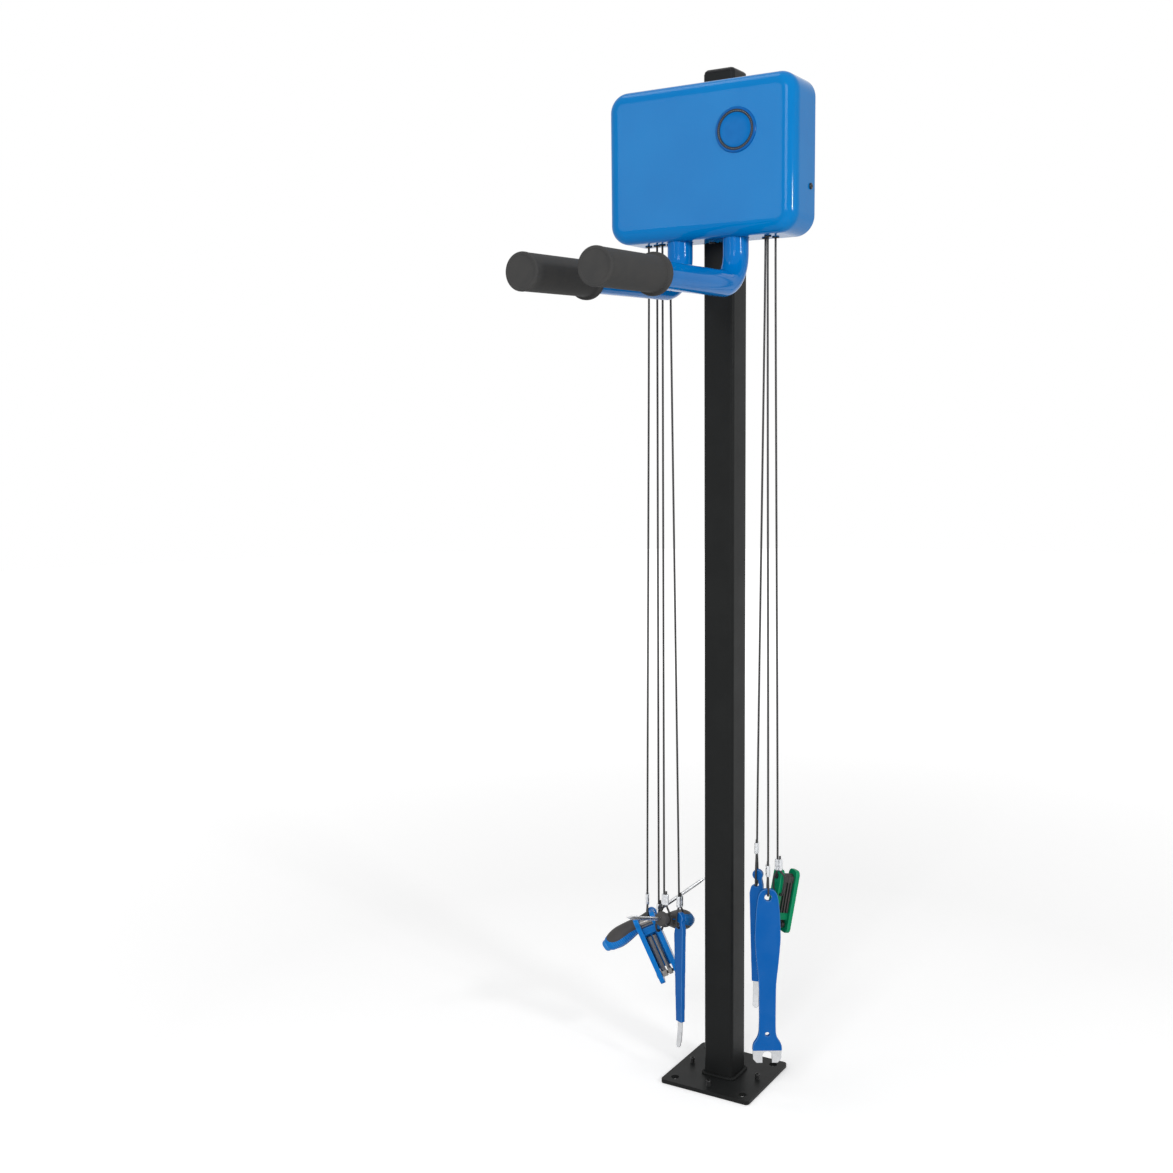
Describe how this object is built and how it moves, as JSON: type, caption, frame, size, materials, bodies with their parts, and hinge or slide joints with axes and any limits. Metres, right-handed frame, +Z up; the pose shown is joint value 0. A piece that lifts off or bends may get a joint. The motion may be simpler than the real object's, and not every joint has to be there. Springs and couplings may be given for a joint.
{
  "type": "bicycle repair station",
  "caption": "Floor-bolted post with a boxed head, two padded arms that hold a bicycle, and hand tools hanging on steel cables.",
  "frame": {"origin": "middle of the floor plate's underside, on the floor", "axes": "+X to the right seen from the front, +Y away from the front, +Z up; the arms reach towards -Y"},
  "size_m": [0.3508, 0.5576, 1.59],
  "materials": {
    "black_powder_coat": "satin powder coat",
    "blue_cover_plastic": "gloss moulded plastic",
    "black_oxide_screws": "black oxide",
    "zinc_fasteners": "zinc plated",
    "arm_powder_coat": "gloss powder coat",
    "grip_rubber": "matt rubber",
    "clamp_aluminium": "plain",
    "badge_enamel": "gloss enamel with a bright rim",
    "cable_jacket": "smooth black jacket",
    "grommet_rubber": "matt",
    "crimp_metal": "bright crimped",
    "handle_rubber": "dark grey soft grip",
    "blue_plastic": "gloss",
    "chromed_steel": "satin chrome",
    "green_plastic": "gloss",
    "key_steel": "satin",
    "dark_key_steel": "dark satin",
    "blue_vinyl": "dipped vinyl"
  },
  "bodies": {
    "stand": {"base_plate": "black_powder_coat", "levelling_screws": "black_oxide_screws", "post": "black_powder_coat", "foot_weld": "black_powder_coat", "post_cap": "black_powder_coat", "back_plate": "black_powder_coat", "head_bolts": "zinc_fasteners", "frame_nuts": "zinc_fasteners", "head_cover": "blue_cover_plastic", "cover_screws": "black_oxide_screws", "arm_left": "arm_powder_coat", "arm_right": "arm_powder_coat", "grip_left": "grip_rubber", "grip_right": "grip_rubber", "clamp_rear": "clamp_aluminium", "clamp_front": "clamp_aluminium", "clamp_bolts": "black_oxide_screws", "badge_plate": "badge_enamel", "cable_bar": "black_powder_coat", "cable_stops": "crimp_metal", "cable_grommets": "grommet_rubber", "cable_left_1": "cable_jacket", "cable_left_2": "cable_jacket", "cable_left_3": "cable_jacket", "cable_left_4": "cable_jacket", "cable_right_1": "cable_jacket", "cable_right_2": "cable_jacket", "cable_right_3": "cable_jacket", "cable_ferrules": "crimp_metal"},
    "driver_a": {"driver_a_handle": "handle_rubber", "driver_a_cap": "blue_plastic", "driver_a_blade": "chromed_steel"},
    "driver_b": {"driver_b_handle": "handle_rubber", "driver_b_cap": "blue_plastic", "driver_b_blade": "chromed_steel"},
    "hex_set": {"hex_body": "blue_plastic", "hex_pins": "black_oxide_screws"},
    "star_set": {"star_body": "green_plastic", "star_pins": "black_oxide_screws"},
    "lever_left": {"lever_left_steel": "chromed_steel", "lever_left_sleeve": "blue_vinyl"},
    "lever_right": {"lever_right_steel": "chromed_steel", "lever_right_sleeve": "blue_vinyl"},
    "wrench": {"wrench_steel": "chromed_steel", "wrench_sleeve": "blue_vinyl"},
    "hex_key_8": {"hex_key_8": "key_steel"},
    "hex_key_6": {"hex_key_6": "key_steel"},
    "hex_key_5": {"hex_key_5": "key_steel"},
    "hex_key_4": {"hex_key_4": "key_steel"},
    "hex_key_3": {"hex_key_3": "key_steel"},
    "hex_key_2": {"hex_key_2": "key_steel"},
    "star_key_1": {"star_key_1": "dark_key_steel"},
    "star_key_2": {"star_key_2": "dark_key_steel"},
    "star_key_3": {"star_key_3": "dark_key_steel"},
    "star_key_4": {"star_key_4": "dark_key_steel"},
    "star_key_5": {"star_key_5": "dark_key_steel"},
    "star_key_6": {"star_key_6": "dark_key_steel"},
    "star_key_7": {"star_key_7": "dark_key_steel"}
  },
  "joints": [
    {"name": "driver_a_swing", "type": "hinge", "parent": "stand", "child": "driver_a", "pos_m": [-0.129, -0.025, 0.252], "axis": [-0.521, 0.8536, 0], "range_deg": [0, 12]},
    {"name": "hex_set_swing", "type": "hinge", "parent": "stand", "child": "hex_set", "pos_m": [-0.093, -0.0495, 0.2455], "axis": [-0.2351, -0.972, 0], "range_deg": [0, 12]},
    {"name": "driver_b_swing", "type": "hinge", "parent": "stand", "child": "driver_b", "pos_m": [-0.078, -0.058, 0.2695], "axis": [-1, 0, 0], "range_deg": [-10, 8]},
    {"name": "lever_left_swing", "type": "hinge", "parent": "stand", "child": "lever_left", "pos_m": [-0.054, -0.053, 0.26], "axis": [-0.4067, -0.9135, 0], "range_deg": [-6, 25]},
    {"name": "lever_right_swing", "type": "hinge", "parent": "stand", "child": "lever_right", "pos_m": [0.065, -0.019, 0.341], "axis": [-0.2079, 0.9781, 0], "range_deg": [-10, 10]},
    {"name": "wrench_swing", "type": "hinge", "parent": "stand", "child": "wrench", "pos_m": [0.1005, -0.056, 0.3368], "axis": [-0.521, 0.8536, 0], "range_deg": [-20, 20]},
    {"name": "star_set_swing", "type": "hinge", "parent": "stand", "child": "star_set", "pos_m": [0.1065, -0.0285, 0.334], "axis": [0.9893, 0.1461, 0], "range_deg": [-8, 0]},
    {"name": "hex_key_8_fold", "type": "hinge", "parent": "hex_set", "child": "hex_key_8", "pos_m": [-0.09039, -0.03572, 0.16856], "axis": [0.7857, 0.4796, 0.3907], "range_deg": [0, 90]},
    {"name": "hex_key_6_fold", "type": "hinge", "parent": "hex_set", "child": "hex_key_6", "pos_m": [-0.08292, -0.03116, 0.17227], "axis": [0.7857, 0.4796, 0.3907], "range_deg": [0, 75]},
    {"name": "hex_key_5_fold", "type": "hinge", "parent": "hex_set", "child": "hex_key_5", "pos_m": [-0.12321, -0.05576, 0.25327], "axis": [0.7857, 0.4796, 0.3907], "range_deg": [0, 30]},
    {"name": "hex_key_4_fold", "type": "hinge", "parent": "hex_set", "child": "hex_key_4", "pos_m": [-0.11912, -0.05326, 0.2553], "axis": [0.7857, 0.4796, 0.3907], "range_deg": [0, 35]},
    {"name": "hex_key_3_fold", "type": "hinge", "parent": "hex_set", "child": "hex_key_3", "pos_m": [-0.11504, -0.05077, 0.25733], "axis": [0.7857, 0.4796, 0.3907], "range_deg": [0, 30]},
    {"name": "hex_key_2_fold", "type": "hinge", "parent": "hex_set", "child": "hex_key_2", "pos_m": [-0.11095, -0.04827, 0.25936], "axis": [0.7857, 0.4796, 0.3907], "range_deg": [0, 40]},
    {"name": "star_key_1_fold", "type": "hinge", "parent": "star_set", "child": "star_key_1", "pos_m": [0.10601, -0.0134, 0.3587], "axis": [-0.5853, -0.7881, 0.1908], "range_deg": [0, 90]},
    {"name": "star_key_2_fold", "type": "hinge", "parent": "star_set", "child": "star_key_2", "pos_m": [0.10893, -0.00946, 0.35774], "axis": [-0.5853, -0.7881, 0.1908], "range_deg": [0, 90]},
    {"name": "star_key_3_fold", "type": "hinge", "parent": "star_set", "child": "star_key_3", "pos_m": [0.11186, -0.00552, 0.35679], "axis": [-0.5853, -0.7881, 0.1908], "range_deg": [0, 90]},
    {"name": "star_key_4_fold", "type": "hinge", "parent": "star_set", "child": "star_key_4", "pos_m": [0.11479, -0.00158, 0.35583], "axis": [-0.5853, -0.7881, 0.1908], "range_deg": [0, 90]},
    {"name": "star_key_5_fold", "type": "hinge", "parent": "star_set", "child": "star_key_5", "pos_m": [0.09777, -0.02448, 0.28294], "axis": [-0.5853, -0.7881, 0.1908], "range_deg": [0, 90]},
    {"name": "star_key_6_fold", "type": "hinge", "parent": "star_set", "child": "star_key_6", "pos_m": [0.10164, -0.01928, 0.28168], "axis": [-0.5853, -0.7881, 0.1908], "range_deg": [0, 90]},
    {"name": "star_key_7_fold", "type": "hinge", "parent": "star_set", "child": "star_key_7", "pos_m": [0.1055, -0.01408, 0.28042], "axis": [-0.5853, -0.7881, 0.1908], "range_deg": [0, 90]}
  ]
}
